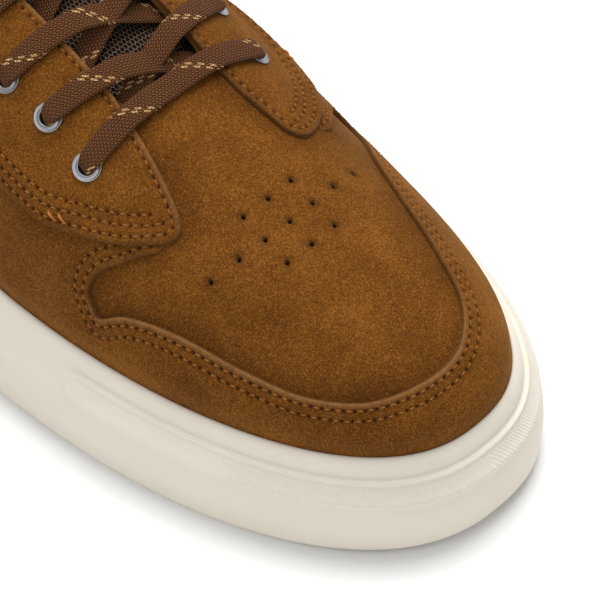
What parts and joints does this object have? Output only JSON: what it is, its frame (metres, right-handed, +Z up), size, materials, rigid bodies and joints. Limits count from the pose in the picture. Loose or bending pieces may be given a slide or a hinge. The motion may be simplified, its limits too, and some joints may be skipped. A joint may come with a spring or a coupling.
{
  "type": "skateboarding shoe",
  "caption": "Low laced suede shoe for skateboarding with a cream rubber cupsole, toe overlay, perforated vamp and padded tongue, for the right foot.",
  "frame": {"origin": "on the floor under the middle of the sole", "axes": "+Z up, toe towards -Y, lateral side -X, medial side +X"},
  "size_m": [0.1119, 0.3, 0.1147],
  "materials": {
    "sole_rubber": "matt moulded rubber",
    "suede": "brushed suede",
    "tongue_mesh": "open knitted mesh",
    "lining": "soft knitted lining",
    "lace": "flat braid with light flecks",
    "eyelet_metal": "satin"
  },
  "bodies": {
    "root": {"sole": "sole_rubber", "insole": "lining", "upper": "suede", "tongue": "tongue_mesh", "mudguard": "suede", "eyestay_lateral": "suede", "eyestay_medial": "suede", "heel_counter": "suede", "eyelet_lateral_1": "eyelet_metal", "eyelet_lateral_2": "eyelet_metal", "eyelet_lateral_3": "eyelet_metal", "eyelet_lateral_4": "eyelet_metal", "eyelet_lateral_5": "eyelet_metal", "eyelet_lateral_6": "eyelet_metal", "eyelet_medial_1": "eyelet_metal", "eyelet_medial_2": "eyelet_metal", "eyelet_medial_3": "eyelet_metal", "eyelet_medial_4": "eyelet_metal", "eyelet_medial_5": "eyelet_metal", "eyelet_medial_6": "eyelet_metal", "lace_bar": "lace", "lace_crossing_1": "lace", "lace_crossing_2": "lace", "lace_crossing_3": "lace", "lace_crossing_4": "lace", "lace_crossing_5": "lace"}
  },
  "joints": []
}
